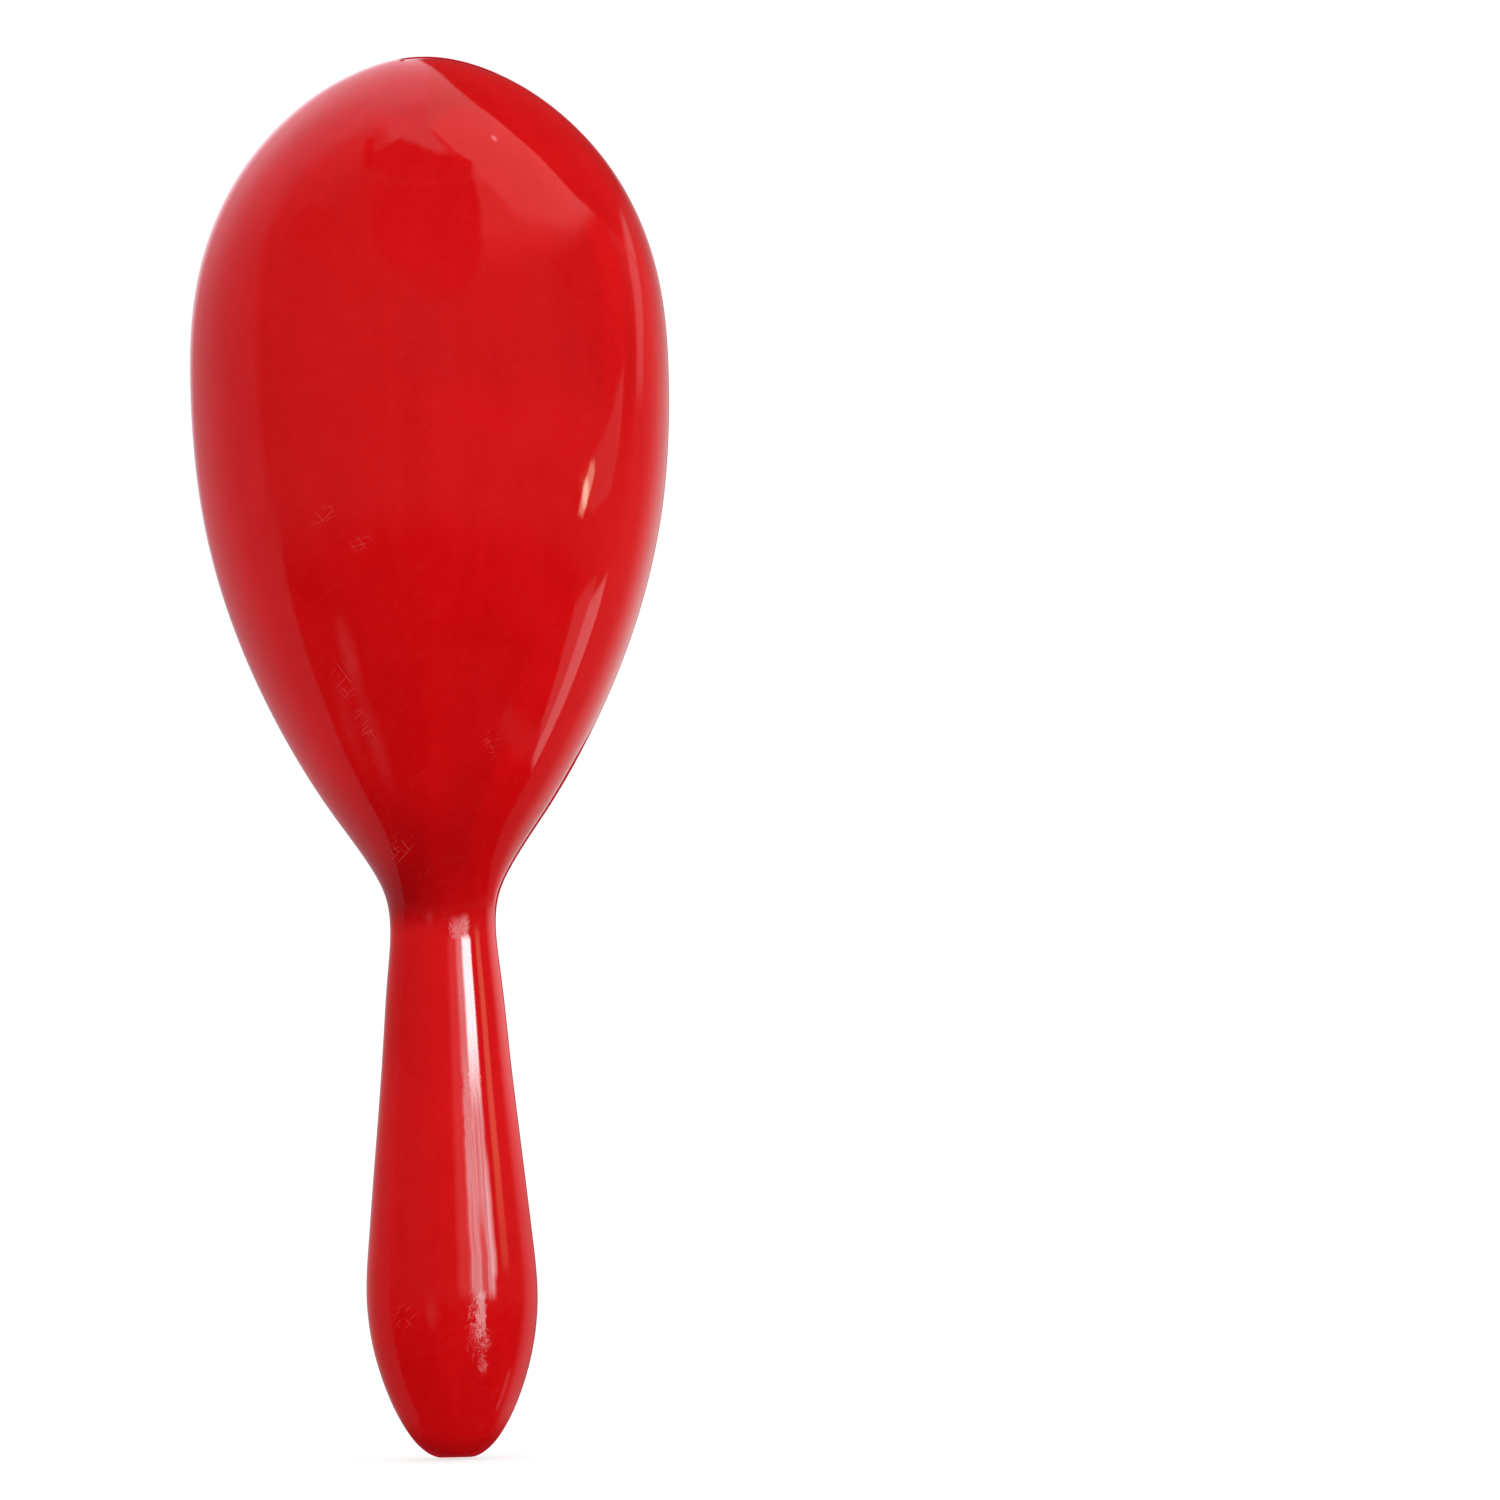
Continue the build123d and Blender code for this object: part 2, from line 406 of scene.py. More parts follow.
# ------------------------------------------------------------------ shader trees
class ShaderTree:
    """An emptied node tree, with short calls for filling it."""

    def __init__(self, owner):
        owner.use_nodes = True
        self.tree = owner.node_tree
        self.tree.nodes.clear()

    def new(self, kind, inputs=None, **settings):
        """A node; inputs maps sockets to values or to sockets to link from."""
        node = self.tree.nodes.new(kind)
        for key, value in settings.items():
            setattr(node, key, value)
        for key, value in (inputs or {}).items():
            if isinstance(value, bpy.types.NodeSocket):
                self.tree.links.new(value, node.inputs[key])
            else:
                node.inputs[key].default_value = value
        return node

    def shader(self, kind, inputs):
        return self.new(kind, inputs).outputs[0]

    def object_position(self):
        return self.new("ShaderNodeTexCoord").outputs["Object"]

    def math(self, operation, a, b=0.0):
        return self.new("ShaderNodeMath", {0: a, 1: b}, operation=operation).outputs[0]

    def fold(self, operation, values):
        return reduce(lambda a, b: self.math(operation, a, b), values)

    def add(self, *values):
        return self.fold("ADD", values)

    def multiply(self, *values):
        return self.fold("MULTIPLY", values)

    def maximum(self, *values):
        return self.fold("MAXIMUM", values)

    def subtract(self, a, b):
        return self.math("SUBTRACT", a, b)

    def vector(self, operation, a, b=(0.0, 0.0, 0.0)):
        node = self.new("ShaderNodeVectorMath", {0: a, 1: b}, operation=operation)
        return node.outputs["Value" if operation in ("DOT_PRODUCT", "LENGTH") else "Vector"]

    def dot(self, a, b):
        return self.vector("DOT_PRODUCT", a, b)

    def scale(self, vector, factor):
        node = self.new(
            "ShaderNodeVectorMath", {0: vector, "Scale": factor}, operation="SCALE"
        )
        return node.outputs[0]

    def ellipse(self, point, centre, stretch):
        """Distance from a centre, with each axis multiplied by its stretch."""
        offset = self.vector("SUBTRACT", point, centre)
        return self.vector("LENGTH", self.vector("MULTIPLY", offset, stretch))

    def ramp(self, value, start, end, before=0.0, after=1.0, smooth=True):
        """Runs from `before` at start to `after` at end."""
        return self.new(
            "ShaderNodeMapRange",
            {"Value": value, "From Min": start, "From Max": end,
             "To Min": before, "To Max": after},
            interpolation_type="SMOOTHSTEP" if smooth else "LINEAR",
            clamp=True,
        ).outputs["Result"]

    def fall(self, value, start, end):
        return self.ramp(value, start, end, before=1.0, after=0.0)

    def band(self, value, start, end, soft_start, soft_end):
        """1 between start and end, with soft borders centred on them."""
        return self.multiply(
            self.ramp(value, start - soft_start / 2, start + soft_start / 2),
            self.fall(value, end - soft_end / 2, end + soft_end / 2),
        )

    def combine(self, x, y, z):
        return self.new("ShaderNodeCombineXYZ", {0: x, 1: y, 2: z}).outputs[0]

    def separate(self, vector):
        return self.new("ShaderNodeSeparateXYZ", {0: vector}).outputs[:3]

    def mix(self, factor, a, b):
        return self.new(
            "ShaderNodeMix", {0: factor, 2: a, 3: b}, data_type="FLOAT", clamp_factor=True
        ).outputs[0]

    def mix_color(self, factor, a, b):
        return self.new(
            "ShaderNodeMix", {0: factor, 6: a, 7: b}, data_type="RGBA", clamp_factor=True
        ).outputs[2]

    def noise(self, vector, scale=1.0, detail=2.0, roughness=0.5, distortion=0.0):
        return self.new("ShaderNodeTexNoise", {
            "Vector": vector, "Scale": scale, "Detail": detail,
            "Roughness": roughness, "Distortion": distortion,
        }).outputs["Fac"]

    def stretched(self, vector, scale, rotation=(0.0, 0.0, 0.0)):
        return self.new(
            "ShaderNodeMapping",
            {"Vector": vector, "Rotation": rotation, "Scale": scale},
            vector_type="POINT",
        ).outputs["Vector"]

    def bump(self, height, distance, strength=1.0, invert=False, normal=None):
        inputs = {"Height": height, "Strength": strength, "Distance": distance}
        if normal is not None:
            inputs["Normal"] = normal
        return self.new("ShaderNodeBump", inputs, invert=invert).outputs[0]


def new_material(name):
    material = bpy.data.materials.new(name)
    return material, ShaderTree(material)


# -------------------------------------------------------------------- materials
WHITE = (1.0, 1.0, 1.0, 1.0)
PALE_RED, BODY_RED = (0.600, 0.0044, 0.0060, 1.0), (0.535, 0.0020, 0.0034, 1.0)
# painted shade, laid on the neck and the tip
PAINTED_SHADE_RED = (0.200, 0.0006, 0.0016, 1.0)
SCRATCH_RED = (0.80, 0.14, 0.15, 1.0)
# the seam face's colours: a pale joint tone and a painted shade
SEAM_PALE, SEAM_SHADE_DARK = (0.60, 0.060, 0.075, 1.0), (0.52, 0.0030, 0.0160, 1.0)
PLASTIC_IOR = 1.5
# Clusters of hairline scratches on the front:
# (x, z, half width, half height, turn), millimetres and degrees.
SCUFFS = [
    (-14.7, 134.2, 2.6, 1.6, 35), (-9.6, 130.3, 2.2, 1.4, 20),
    (-12.6, 111.0, 1.6, 3.6, 20), (-9.8, 104.5, 1.3, 3.4, 24),
    (-5.4, 87.2, 2.0, 2.8, -30), (8.1, 101.8, 1.4, 2.2, 10),
    (-6.6, 20.8, 2.4, 2.0, 0), (3.6, 53.8, 1.6, 2.6, -25),
]
# Dents on the front that break up the gloss: (x, z, half width, half height, depth).
DENTS = [
    (2.7, 18.2, 3.6, 6.4, 1.0), (2.2, 75.7, 2.8, 1.7, 1.0), (3.4, 53.6, 1.3, 2.2, 0.30),
    (2.9, 47.6, 0.9, 1.6, 0.28), (-4.5, 72.6, 2.2, 2.0, 0.5), (-6.8, 21.0, 2.6, 2.2, 0.5),
]
# Families of parallel scratches: (turn in degrees, pitch, half width).
SCRATCHES = [(38, 0.46, 0.075), (-52, 0.60, 0.060), (12, 0.72, 0.060)]


def body_color(tree, where, x, z):
    """Slow clouds, flow streaks up the piece, fine mottle; painted shade on the neck and the
    tip, painted light at the rims.
    """
    cloud = tree.noise(where, scale=46.0, detail=3.0, roughness=0.55, distortion=0.4)
    streak = tree.noise(
        tree.stretched(where, scale=(190.0, 190.0, 22.0)),
        detail=3.0, roughness=0.6, distortion=0.6,
    )
    mottle = tree.noise(where, scale=620.0, detail=3.0, roughness=0.65)
    tone = tree.add(
        tree.multiply(cloud, 0.45), tree.multiply(streak, 0.33), tree.multiply(mottle, 0.22)
    )
    color = tree.mix_color(tree.ramp(tone, 0.34, 0.66), BODY_RED, PALE_RED)
    # painted shade: where the neck widens into the head it is darkened in the colour, most of
    # all on the left
    lean = tree.mix(
        tree.ramp(z, 0.0805, 0.0880),
        tree.ramp(x, -0.0060, 0.0060, before=1.70, after=0.55, smooth=False),
        tree.ramp(x, -0.0060, 0.0090, before=1.08, after=0.70, smooth=False),
    )
    neck_painted_shade = tree.multiply(
        tree.ramp(z, 0.0745, 0.0795), tree.fall(z, 0.0840, 0.1000), lean, 0.40
    )
    color = tree.mix_color(neck_painted_shade, color, PAINTED_SHADE_RED)
    # painted shade: the end of the tip is darkened too, for the shade on its underside
    tip = tree.ramp(z, 0.0, 0.0050, before=0.32, after=0.0)
    color = tree.mix_color(tip, color, PAINTED_SHADE_RED)
    # painted light: the body colour is raised where the surface turns edge-on, so the rims look
    # brighter than the lighting makes them
    rim_painted_light = tree.new("ShaderNodeFresnel", {"IOR": PLASTIC_IOR}).outputs[0]
    return tree.scale(color, tree.add(0.97, tree.multiply(rim_painted_light, 0.75)))


def scuff_mask(tree, where, front):
    masks = []
    for x, z, half_width, half_height, turn in SCUFFS:
        cosine, sine = math.cos(math.radians(turn)), math.sin(math.radians(turn))
        wide, tall = half_width * MM, half_height * MM
        u = tree.dot(where, (cosine / wide, 0.0, sine / wide))
        v = tree.dot(where, (-sine / tall, 0.0, cosine / tall))
        u = tree.subtract(u, (cosine * x + sine * z) / half_width)
        v = tree.subtract(v, (-sine * x + cosine * z) / half_height)
        distance = tree.vector("LENGTH", tree.combine(u, v, 0.0))
        masks.append(tree.fall(distance, 0.35, 1.1))
    return tree.multiply(tree.maximum(*masks), front)


def scratch_mask(tree, where, front):
    """Hairline scratches, sparse everywhere and thick inside the scuffs."""
    inside = scuff_mask(tree, where, front)
    bend = tree.multiply(tree.noise(where, scale=130.0, detail=1.0), 1.6)
    hairs = []
    for k, (turn, pitch, width) in enumerate(SCRATCHES):
        cosine, sine = math.cos(math.radians(turn)), math.sin(math.radians(turn))
        step = pitch * MM
        along = tree.dot(where, (cosine / MM, 0.3 / MM, sine / MM))
        across = tree.dot(where, (-sine / step, 0.35 / MM, cosine / step))
        across = tree.add(across, bend)
        row = tree.math("FLOOR", across)
        off = tree.math("ABSOLUTE", tree.subtract(tree.math("FRACT", across), 0.5))
        hair = tree.fall(off, 0.0, width / pitch)
        # each row is broken into runs of its own
        place = tree.combine(
            tree.multiply(along, 0.42), tree.multiply(row, 3.71), 7.0 * k + 1.0
        )
        run = tree.noise(place, detail=0.0)
        few = tree.ramp(run, 0.66, 0.74, after=0.16)
        many = tree.multiply(tree.ramp(run, 0.50, 0.62), inside)
        hairs.append(tree.multiply(hair, tree.maximum(few, many)))
    return tree.maximum(*hairs)


def seam_color_and_shade(tree, x, z):
    """Colour of the seam's face: a pale joint tone, with painted shade darkening it at the tip,
    the crown and the neck's right.
    """
    neck = tree.multiply(
        tree.ramp(x, 0.0, 0.002),
        tree.multiply(tree.ramp(z, 0.0760, 0.0800), tree.fall(z, 0.0980, 0.1060)),
    )
    tip, crown = tree.fall(z, 0.0035, 0.0060), tree.ramp(z, 0.1930, 0.1960)
    return tree.mix_color(tree.maximum(tip, crown, neck), SEAM_PALE, SEAM_SHADE_DARK)


def plastic_relief(tree, where, front, scratch):
    """The normal: slow draw marks, orange peel, creased dents and scratches."""
    dents = []
    for x, z, half_width, half_height, depth in DENTS:
        distance = tree.ellipse(
            where, (x * MM, 0.0, z * MM), (1 / (half_width * MM), 0.0, 1 / (half_height * MM))
        )
        dents.append(tree.ramp(distance, 0.45, 1.15, before=depth, after=0.0))
    dent = tree.multiply(tree.maximum(*dents), front)
    creases = tree.noise(
        tree.stretched(where, scale=(640.0, 640.0, 420.0), rotation=(0.2, 0.6, 0.1)),
        detail=3.0, roughness=0.55, distortion=1.6,
    )
    draw = tree.noise(where, scale=95.0, detail=1.0, roughness=0.4)
    peel = tree.noise(where, scale=520.0)
    normal = tree.bump(draw, distance=0.000020)
    normal = tree.bump(peel, distance=0.0000016, normal=normal)
    normal = tree.bump(tree.multiply(creases, dent), distance=0.000085, normal=normal)
    return tree.bump(scratch, distance=0.0000025, invert=True, normal=normal)


def red_plastic():
    """Gloss-moulded red plastic with smears, scratches, dents and a seam; its colour carries
    painted shade at the neck, tip and seam, and painted light at the rims.
    """
    material, tree = new_material("shell_red_plastic")
    where = tree.object_position()
    x, y, z = tree.separate(where)
    seam = tree.fall(tree.math("ABSOLUTE", y), 0.00005, 0.00008)
    front = tree.fall(y, -0.0005, 0.0)
    scratch = scratch_mask(tree, where, front)
    color = body_color(tree, where, x, z)
    color = tree.mix_color(tree.multiply(scratch, 0.36), color, SCRATCH_RED)
    # painted shade: the seam's face is darkened, most at the tip, the crown and the neck's
    # right, for the shade in the parting gap
    color = tree.mix_color(seam, color, seam_color_and_shade(tree, x, z))

    smear = tree.noise(
        tree.stretched(where, scale=(70.0, 70.0, 34.0), rotation=(0.3, 0.5, 0.2)),
        detail=4.0, roughness=0.6, distortion=1.2,
    )
    smear = tree.ramp(smear, 0.46, 0.72)
    roughness = tree.add(0.035, tree.multiply(smear, 0.040), tree.multiply(scratch, 0.12))
    surface = tree.shader("ShaderNodeBsdfPrincipled", {
        "Base Color": color,
        "Roughness": tree.maximum(roughness, tree.multiply(seam, 0.6)),
        "IOR": PLASTIC_IOR,
        "Specular IOR Level": tree.subtract(0.5, tree.multiply(seam, 0.4)),
        "Normal": plastic_relief(tree, where, front, scratch),
    })
    tree.new("ShaderNodeOutputMaterial", {"Surface": surface})
    return material


def steel():
    """Tumbled steel shot: bright, with fine random rub marks and dull patches."""
    material, tree = new_material("shot_steel")
    where = tree.object_position()
    patch = tree.noise(where, scale=700.0, detail=3.0, roughness=0.6, distortion=0.5)
    rub = tree.noise(
        tree.stretched(where, scale=(6000.0, 900.0, 2500.0), rotation=(0.4, 0.9, 0.3))
    )
    dull, bright = (0.50, 0.49, 0.47, 1.0), (0.66, 0.65, 0.64, 1.0)
    uneven = tree.multiply(tree.ramp(patch, 0.35, 0.7), 0.20)
    surface = tree.shader("ShaderNodeBsdfPrincipled", {
        "Base Color": tree.mix_color(tree.ramp(patch, 0.4, 0.62), dull, bright),
        "Metallic": 1.0,
        "Roughness": tree.add(0.20, uneven),
        "Normal": tree.bump(rub, distance=0.00001, strength=0.5),
    })
    tree.new("ShaderNodeOutputMaterial", {"Surface": surface})
    return material


# ------------------------------------------------------------- light of the room
# Shapes seen in the gloss, as (kind, shape, brightness, edge softness). Points
# are (azimuth, elevation) in degrees: azimuth 0 is straight in front of the
# object, + to its right as seen from the front; elevation is above the horizon.
# Each shape is laid over the ones before it:
#   poly   a convex outline;  polys  the union of several
#   oval   (centre, half axes); its softness is a share of the radius
#   ramp   (elevations, azimuths), each from where it starts to where it is full
ANY = (-1000, -999)     # elevations of a ramp that is full at every height
HEAD_ROOM = [
    ("poly", [(-400, -19), (400, -19), (400, 400), (-400, 400)], 0.11, 12),
    ("ramp", ((20, 70), (-35, -95)), 0.28, 0),
    ("oval", ((-68, 34), (17, 8)), 0.07, 0.5),
    ("poly", [(-400, -15), (-87, -15), (-90, 0), (-93, 12), (-104, 40), (-130, 80),
              (-400, 400)], 0.22, 8),
    ("poly", [(-400, -60), (-104, -60), (-84.5, -14.5), (-400, -14.5)], 0.21, 3),
    ("ramp", ((0, 64), (-88, -138)), 0.68, 0),
    ("ramp", ((60, 59), (-104, -132)), 0.29, 0),
    ("ramp", ((-2, 60), (-94, -138)), 0.68, 0),
    ("ramp", ((60, 59), (-120, -150)), 0.32, 0),
    ("ramp", ((2, 30), (-120, -152)), 0.85, 0),
    ("oval", ((-171, 11), (11, 9)), 1.05, 0.8),
    ("poly", [(-400, 75), (400, 75), (400, 400), (-400, 400)], 0.66, 6),
    # a pale wall, cut off by a dark opening on the left
    ("poly", [(28, 28.5), (100, 24), (400, 20), (400, 400), (60, 400)], 0.20, 16),
    ("polys", [[(31, 38), (84, 31.5), (116, 30), (400, 30), (400, 74), (56, 74), (44, 60)],
               [(48, 60), (400, 60), (400, 400), (60, 400)]], 0.40, 9),
    ("poly", [(60, 42), (90, 32.5), (116, 30), (400, 30), (400, 400), (56, 400),
              (50, 62)], 0.76, 7),
    ("poly", [(46, 62), (400, 62), (400, 400), (46, 400)], 0.76, 12),
    ("polys", [[(-66, 62), (43, 61), (54, 67), (48, 72), (-64, 78)],
               [(-60, 70), (20, 70), (8, 77), (-24, 80), (-64, 79)],
               [(-42, 58), (-36, 46), (31, 38), (44, 62)],
               [(-36, 47), (-29, 32), (29, 30), (32, 41), (32, 45)],
               [(-29, 34), (-14, 24), (3, 17), (17, 18), (27, 27), (30, 34)]], 0.050, 4),
    ("poly", [(-93, 68), (-60, 61.5), (-50, 66), (-85, 71)], 0.05, 4),
    ("poly", [(-20, 69), (30, 66), (36, 71), (10, 76), (-20, 77)], 0.028, 4),
    ("poly", [(22, 22), (30, 31), (40, 56), (33, 56), (26, 44)], 0.026, 5),
    # a dark lobe on the right, up to the crown
    ("poly", [(85, 4), (112, -3), (122, 3), (121, 29), (70, 26)], 0.060, 6),
    ("poly", [(185, 2), (185, 22), (181.5, 34), (178, 45), (174, 52), (170, 56),
              (165, 59.5), (158, 62.2), (149, 63.7), (140, 63.6), (132, 62.4),
              (125, 60.4), (118, 57.2), (113, 52.5), (110, 46.5), (109, 40),
              (110.5, 35), (115, 30), (122, 23), (137, 14)], 0.042, 2.0),
    ("poly", [(-185, 2), (-179, 4), (-177.6, 18), (-178, 30), (-179.5, 38),
              (-185, 44)], 0.05, 1.6),
    # the table and what stands on it
    ("poly", [(119, 1), (126.5, 14.3), (131, 17.6), (139, 19.4), (144, 19), (160, 13),
              (185, 2), (185, -90), (118, -90), (110, -40), (114, -12)], 0.13, 4),
    ("ramp", ((14, -9), (126, 160)), 0.72, 0),
    ("ramp", ((-9, -26), (124, 166)), 0.55, 0),
    ("polys", [[(121, 2), (124, 8.5), (127, 14), (131, 17.2), (136, 12.5), (126, 2)],
               [(131, 17.2), (139, 19), (144, 18), (136, 12.5)]], 0.50, 3),
]
# Small lamps and panes, which only the head above the neck shows.
HEAD_LAMPS = [
    ("polys", [[(79, -8), (84, -11.5), (91, -11.5), (101, -8), (96, -1.5), (88, -4.2)],
               [(92, -3.3), (101, -8), (105, -3), (109.5, 3.5), (103, 1.5), (96, -1.4)]],
     0.36, 1.6),
    ("poly", [(81.6, -12.6), (84.6, -12.8), (89.2, -6.4), (88.6, -5.2), (86.2, -5.4),
              (82.4, -9)], 3.8, 1.2),
    ("oval", ((84.6, -9.6), (1.7, 1.9)), 10.0, 0.5),
    ("poly", [(92, -23), (97, -19.8), (103, -17.5), (104, -38), (97, -36.5),
              (93, -28)], 0.42, 2.5),
    ("poly", [(111.0, -15.4), (112.0, -20), (111.2, -30), (109.5, -37), (102.5, -38.5),
              (102.4, -20.5)], 1.30, 1.6),
    ("polys", [[(84, -41), (96, -37), (104, -38), (84, -45)],
               [(62, -44), (84, -41), (84, -45), (62, -48)]], 0.12, 3),
    ("oval", ((-60, -38.5), (5, 4.5)), 0.30, 0.8),
    ("oval", ((-62, -50), (7, 5.5)), 0.17, 0.9),
    ("oval", ((-80, -43), (6, 4)), 0.09, 0.9),
    ("oval", ((102.5, 65.5), (3.2, 1.0)), 3.4, 0.5),
]
# Red light thrown back by the red things this piece stands among.
RED_HEAD = [
    ("polys", [[(-400, -400), (-400, -1), (118, 1), (185, 1), (185, -400)],
               [(118, -1), (124, 9), (131, 17), (185, 17), (185, -1)]], 1.35, 6),
    ("ramp", (ANY, (24, -62)), 0.25, 0),
    ("ramp", ((-24, -50), (-8, 34)), 0.35, 0),
    ("poly", [(70, -4), (185, -4), (185, -90), (70, -90)], 1.45, 12),
    ("ramp", (ANY, (104, 138)), 0.85, 0),
    ("poly", [(-400, 56), (400, 56), (400, 400), (-400, 400)], 0.65, 22),
    ("poly", [(-64, 52), (50, 52), (50, 400), (-64, 400)], 0.15, 14),
    ("poly", [(30, 30), (200, 28), (200, 400), (50, 400)], 1.15, 10),
    ("poly", [(58, 40), (90, 32.5), (116, 30), (200, 30), (200, 62), (50, 62)], 1.65, 6),
    ("polys", [[(-42, 64), (-42, 50), (-29, 28), (0, 17), (28, 28), (44, 60), (44, 68)]],
     0.25, 8),
    ("poly", [(92, -7), (108, -5), (122, 26), (116, 38), (104, 34), (95, 8)], 1.25, 8),
    ("poly", [(185, 4), (185, 22), (174, 52), (158, 62.2), (132, 62.4), (118, 57.2),
              (109, 42), (115, 30), (137, 16)], 0.45, 3),
    ("ramp", (ANY, (135, 158)), 0.10, 0),
    ("ramp", ((-3, -15), (-96, -114)), 0.60, 0),
    ("ramp", (ANY, (-108, -146)), 0.12, 0),
]
RED_GRIP = [
    ("ramp", (ANY, (-75, 30)), 0.85, 0),
    ("ramp", (ANY, (128, 158)), 0.30, 0),
]
# The grip stands closer to the bench and the window.
GRIP_ROOM = [
    ("poly", [(-400, -5), (400, -5), (400, 400), (-400, 400)], 0.085, 8),
    ("poly", [(-400, -62), (-93, -42), (-93, 400), (-400, 400)], 0.14, 5),
    ("oval", ((-180, 2), (40, 16)), 0.30, 0.8),
    ("oval", ((-27, -9), (7, 6)), 0.30, 0.8),
]
# The window's broken image low on the grip.
GRIP_GLINTS = [
    ("poly", [(23, -6), (36, -5.5), (36, -8.5), (23, -8.2)], 2.3, 1.5),
    ("poly", [(27, -17), (40, -18), (38, -24), (26, -22)], 0.9, 4),
    ("poly", [(25, -14.5), (37, -12), (37, -15.6), (26, -15.8)], 3.0, 1.2),
    ("poly", [(37, 3), (37, -16), (47, -17.5), (50, -16), (49, -8), (47.5, 3)], 6.5, 4),
    ("poly", [(33, -15), (46, -16.5), (46, -18), (34, -17)], 4.5, 1.5),
    ("poly", [(43, -18.5), (60, -18.2), (60, -20), (55, -23), (48, -24)], 2.8, 2),
    ("poly", [(40, -28), (60, -27.5), (58, -30.5), (48, -32)], 2.2, 2),
]
# Bands on the grip: each tuple is (start, end, softness at start, at end), first
# in azimuth, then in height up the grip in metres.
WINDOW_HEIGHTS = (0.0235, 0.0742, 0.0024, 0.0012)
WINDOW_EDGE = (58.5, 66.5, 4, 4), (0.0262, 0.0415, 0.002, 0.009)
LAMP_PATCH = (75.5, 87, 5, 6), (0.0275, 0.0750, 0.004, 0.003)
# Glints above the window's image, then a gleam on the right of the tip; the
# last number is the brightness.
GRIP_GLEAMS = [
    ((19, 42, 12, 6), (0.0742, 0.0766, 0.0006, 0.0022), 3.8),
    ((51, 61, 5, 4), (0.0742, 0.0768, 0.0004, 0.0020), 4.2),
    ((42, 56, 5, 4), (0.0738, 0.0772, 0.0006, 0.0016), 3.2),
    ((99, 107, 4, 4), (0.0070, 0.0125, 0.0012, 0.0014), 0.36),
]
ROOM_DARK = 0.006
# Soft overall light: base + direction . lean + curve * height squared, plus a
# fill from behind; never less than the floor value.
SOFT_BASE, SOFT_LEAN, SOFT_CURVE = 0.892, (0.140, -0.320, 0.357), -0.20
FILL_START, FILL_GAIN, SOFT_LEAST = 0.20, 1.0, 0.02
BACKDROP = 1.02     # brightness of the white that the camera sees

# The picture's axes: the object leans this far (radians) to the left in it.
LEAN = 0.0248070
VIEW_RIGHT = (math.cos(LEAN), 0.0, -math.sin(LEAN))
VIEW_UP = (math.sin(LEAN), 0.0, math.cos(LEAN))
VIEW_BACK = (0.0, -1.0, 0.0)


def convex_distance(tree, point, outline):
    """Distance inside a convex outline; negative outside it."""
    corners = [np.array(corner, float) for corner in outline]
    pairs = zip(corners, corners[1:] + corners[:1])
    if sum(a[0] * b[1] - b[0] * a[1] for a, b in pairs) < 0:
        corners = corners[::-1]
    distances = []
    for a, b in zip(corners, corners[1:] + corners[:1]):
        edge = b - a
        normal = np.array([-edge[1], edge[0]]) / np.hypot(*edge)
        line = (float(normal[0]), float(normal[1]), float(-normal @ a))
        distances.append(tree.dot(point, line))
    return tree.fold("MINIMUM", distances)


def slope(tree, value, start, full):
    if start < full:
        return tree.ramp(value, start, full)
    return tree.fall(value, full, start)


def room_level(tree, azimuth, elevation, shapes, level=ROOM_DARK):
    """Brightness of a table of shapes, laid in turn over a starting level."""
    point = tree.combine(azimuth, elevation, 1.0)
    for kind, shape, value, soft in shapes:
        if kind == "oval":
            (x, y), (half_x, half_y) = shape
            distance = tree.ellipse(point, (x, y, 1.0), (1.0 / half_x, 1.0 / half_y, 0.0))
            mask = tree.fall(distance, 1 - soft, 1 + soft)
        elif kind == "ramp":
            elevations, azimuths = shape
            mask = tree.multiply(
                slope(tree, elevation, *elevations), slope(tree, azimuth, *azimuths)
            )
        else:
            outlines = [shape] if kind == "poly" else shape
            near = [convex_distance(tree, point, outline) for outline in outlines]
            mask = tree.ramp(tree.maximum(*near), -soft / 2, soft / 2)
        level = tree.mix(mask, level, value)
    return level


def waver(tree, azimuth, height, seed, frequency, reach):
    """The azimuth, shifted by noise that runs along the grip."""
    place = tree.combine(0.0, seed, tree.multiply(height, frequency))
    shift = tree.subtract(tree.noise(place), 0.5)
    return tree.add(azimuth, tree.multiply(shift, reach))


def patch(tree, azimuth, height, azimuths, heights):
    return tree.multiply(tree.band(azimuth, *azimuths), tree.band(height, *heights))


